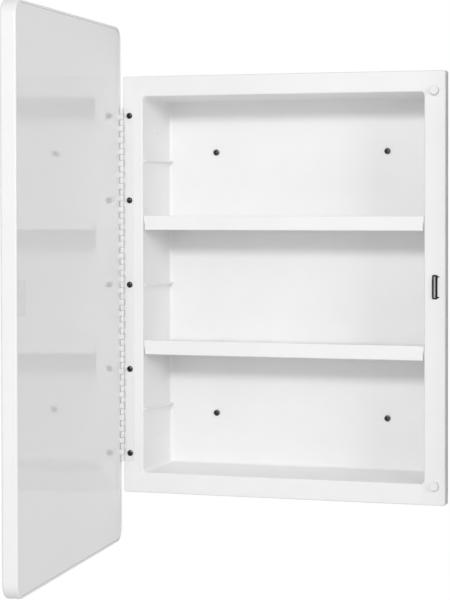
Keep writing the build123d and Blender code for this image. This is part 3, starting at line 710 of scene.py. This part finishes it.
wall_sizes = in_metres({
    "Head Radius": 3.7, "Head Height": 2.5, "Cross Width": 1.6, "Cross Length": 4.8, "Cross Depth": 2.0,
    "Neck Radius": 1.6, "Neck Length": 2.5, "Thread Radius": 2.1, "Core Radius": 1.55,
    "Thread Pitch": 1.5, "Length": 25.0, "Tip": 3.0})
wall_sizes.update({"Head Cone": 0.2, "Rings": 140, "Seed": 4, "Material": wall_nickel_painted_grey})
hinge_sizes = in_metres({
    "Head Radius": 3.6, "Head Height": 2.2, "Cross Width": 1.1, "Cross Length": 3.6, "Cross Depth": 1.2,
    "Neck Radius": 1.4, "Neck Length": 1.0, "Thread Radius": 1.75, "Core Radius": 1.3,
    "Thread Pitch": 1.1, "Length": 9.5, "Tip": 2.0})
hinge_sizes.update({"Head Cone": 0.56, "Rings": 74, "Seed": 11, "Material": nickel_painted_dark})

back_wall = 2.5 * MM
wall_low, wall_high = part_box("wall_screws")
head = wall_sizes["Head Radius"]
wall_seats = [(x, -back_wall, z) for x in (wall_low.x + head, wall_high.x - head)
              for z in (wall_low.z + head, wall_high.z - head)]
hinge_seats = [(screw_x, front_y - metal, z) for z in leaf_screw_heights]
print(len(wall_seats), "wall screws and", len(hinge_seats), "hinge screws")

# %% Screws
for name, sizes, seats, solid in (("wall_screw_set", wall_sizes, wall_seats, "wall_screws"),
                                  ("hinge_screw_set", hinge_sizes, hinge_seats, "cabinet_leaf_screws")):
    threads = grow(name + "_grown", screw_tree, sizes, seats)
    piece = weld(name, [threads], sizes["Material"], "cabinet", "screw_steel", solid)
    print(name, len(seats), "screws,", len(piece.data.polygons), "faces")

# %% [markdown]
# ## Light
#
# The photograph is a plain high-key one. The shelves' shadows on the back wall fall 22 to 31 mm
# over a depth of 80 mm, more for the lower shelf, and their edges are about 10 mm soft. Drawn back
# along those shadows, the main lamp is a soft box half a metre wide, 4 m in front and 1.5 m up,
# a little to the right, because the right wall's shadow runs across the left wall. It gives about
# half of the light. A wide weak lamp in front, another one at the side that lights the door's
# inner panel, and the room itself give the rest, so the shadows stay pale.

# %% Lamps
def soft_box(name, place, target, size, watts):
    lamp = bpy.data.lights.new(name, "AREA")
    lamp.shape = "RECTANGLE"
    lamp.size, lamp.size_y = size
    lamp.energy = watts
    holder = put(name, lamp)
    holder.location = place
    holder.rotation_euler = (Vector(target) - Vector(place)).to_track_quat("-Z", "Y").to_euler()
    return holder


cabinet_middle, door_middle = (0, 0, 0), (-0.2, -0.25, 0)
key = soft_box("key_lamp", (0.45, -4.05, 1.46), cabinet_middle, size=(0.55, 0.55), watts=58.5)
fill = soft_box("front_fill", (0.0, -3.6, 0.5), cabinet_middle, size=(3.0, 2.6), watts=12.0)
side = soft_box("side_fill", (1.8, -1.2, 0.5), door_middle, size=(0.8, 1.0), watts=12.2)
for lamp in (key, fill, side):
    print(lamp.name, round(lamp.data.energy, 1), "W from", [round(v, 2) for v in lamp.location])

# %% [markdown]
# ## The room
#
# The world is plain grey for the light that it sheds and plain white for the camera, for glossy
# reflections and for clear materials, so the background is white and a mirror shows that same
# white. This is what Light Path's outputs tell apart, and the floor uses the same three.

# %% World
def seen_ray(tree):
    path = add(tree, "ShaderNodeLightPath").outputs
    seen = add(tree, "ShaderNodeMath",
               links={0: path["Is Camera Ray"], 1: path["Is Glossy Ray"]}, operation="MAXIMUM")
    seen = add(tree, "ShaderNodeMath",
               links={0: seen.outputs[0], 1: path["Is Transmission Ray"]}, operation="MAXIMUM")
    return seen.outputs[0]


ROOM_LIGHT = 0.356
world = bpy.data.worlds.new("white_room")
bpy.context.scene.world = world
world.use_nodes = True
room = world.node_tree
room.nodes.clear()
shed = add(room, "ShaderNodeBackground", {"Color": linear("FFFFFF"), "Strength": ROOM_LIGHT})
shown = add(room, "ShaderNodeBackground", {"Color": linear("FFFFFF"), "Strength": 1.0})
mixed = add(room, "ShaderNodeMixShader", links={0: seen_ray(room), 1: shed.outputs[0], 2: shown.outputs[0]})
add(room, "ShaderNodeOutputWorld", links={"Surface": mixed.outputs[0]})
print("the room sheds", ROOM_LIGHT, "and shows 1")

# %% [markdown]
# ## The floor
#
# The cabinet hangs at eye height, so the floor lies well below it. Near the object the floor is
# a plain white surface that takes a shadow. Further out it turns into plain white light for the
# camera, so that it has no visible edge.

# %% Floor material
FADE_FROM, FADE_TO, FLOOR_GLOW = 1.8, 4.0, 0.35


def floor_material():
    material = bpy.data.materials.new("white_floor")
    material.use_nodes = True
    tree = material.node_tree
    tree.nodes.clear()
    place = add(tree, "ShaderNodeTexCoord").outputs["Object"]
    reach = add(tree, "ShaderNodeVectorMath", links={0: place}, operation="LENGTH")
    far = add(tree, "ShaderNodeMapRange",
              {"From Min": FADE_FROM, "From Max": FADE_TO, "To Min": 0.0, "To Max": 1.0},
              {"Value": reach.outputs["Value"]}, interpolation_type="SMOOTHSTEP")
    matte = add(tree, "ShaderNodeBsdfDiffuse", {"Color": linear("F4F4F4")})
    glow = add(tree, "ShaderNodeEmission", {"Strength": FLOOR_GLOW})
    lifted = add(tree, "ShaderNodeAddShader", links={0: matte.outputs[0], 1: glow.outputs[0]})
    white = add(tree, "ShaderNodeEmission", {"Strength": 1.0})
    faded = add(tree, "ShaderNodeMixShader",
                links={0: far.outputs["Result"], 1: lifted.outputs[0], 2: white.outputs[0]})
    whole = add(tree, "ShaderNodeMixShader",
                links={0: seen_ray(tree), 1: matte.outputs[0], 2: faded.outputs[0]})
    add(tree, "ShaderNodeOutputMaterial", links={"Surface": whole.outputs[0]})
    return material


print("the floor fades from", FADE_FROM, "to", FADE_TO, "m")

# %% Floor
FLOOR_HEIGHT, FLOOR_RADIUS = -1.5, 30.0
shape = bmesh.new()
bmesh.ops.create_circle(shape, cap_ends=True, segments=96, radius=FLOOR_RADIUS)
bmesh.ops.translate(shape, verts=shape.verts, vec=(0, 0, FLOOR_HEIGHT))
floor_mesh = bpy.data.meshes.new("floor")
shape.to_mesh(floor_mesh)
shape.free()
floor_mesh.materials.append(floor_material())
floor = put("floor", floor_mesh)
print("floor", FLOOR_HEIGHT, "m from the cabinet's middle")

# %% [markdown]
# ## A black card
#
# A white edge is lost against a white background, so a photographer stands a black card beside it,
# just out of the picture. The card takes much of the room's light off that one side, which draws
# a grey line down the flange's right side. It is narrow and 60 mm away, so that the side stays
# a shaded white, and neither the camera nor a reflection shows it.

# %% Black card
card_x, card_front, card_back, card_top = 0.2555, -0.125, -0.03, 0.28
corners = [(card_x, card_front, -card_top), (card_x, card_back, -card_top),
           (card_x, card_back, card_top), (card_x, card_front, card_top)]
card_mesh = bpy.data.meshes.new("black_card")
card_mesh.from_pydata(corners, [], [(0, 1, 2, 3)])
flock = bpy.data.materials.new("black_flock_card")
flock.use_nodes = True
matt_black = flock.node_tree.nodes["Principled BSDF"].inputs
matt_black["Base Color"].default_value = linear("101010")
matt_black["Roughness"].default_value = 0.9
card_mesh.materials.append(flock)
card = put("black_card", card_mesh)
card.visible_camera = False
card.visible_glossy = False

# %% [markdown]
# ## Camera
#
# The camera was worked out from the photograph's straight edges: where it stands, where it looks
# and how long its lens is. Its picture is 450 by 600, and the optical axis meets it 50 pixels
# above the middle, which is the vertical shift.

# %% Camera
PICTURE_HEIGHT = 600
FOCAL_PX, AXIS_ROW = 2168.82, 249.8
LOOKS_DOWN, ROLL, YAW = 1.43, 0.098, 18.949
view = bpy.data.cameras.new("camera")
view.sensor_fit = "VERTICAL"
view.sensor_height = 36.0
view.lens = FOCAL_PX * view.sensor_height / PICTURE_HEIGHT
view.shift_y = (AXIS_ROW - PICTURE_HEIGHT / 2) / PICTURE_HEIGHT
camera = put("camera", view)
camera.location = (0.75459, -2.47913, 0.1054)
camera.rotation_euler = (math.radians(90 - LOOKS_DOWN), math.radians(ROLL), math.radians(YAW))
bpy.context.scene.camera = camera
print("lens", round(view.lens, 1), "mm, shift", round(view.shift_y, 4))

# %% [markdown]
# ## Plain colours
#
# The Standard view shows a colour as it is written.

# %% View
bpy.context.scene.view_settings.view_transform = "Standard"
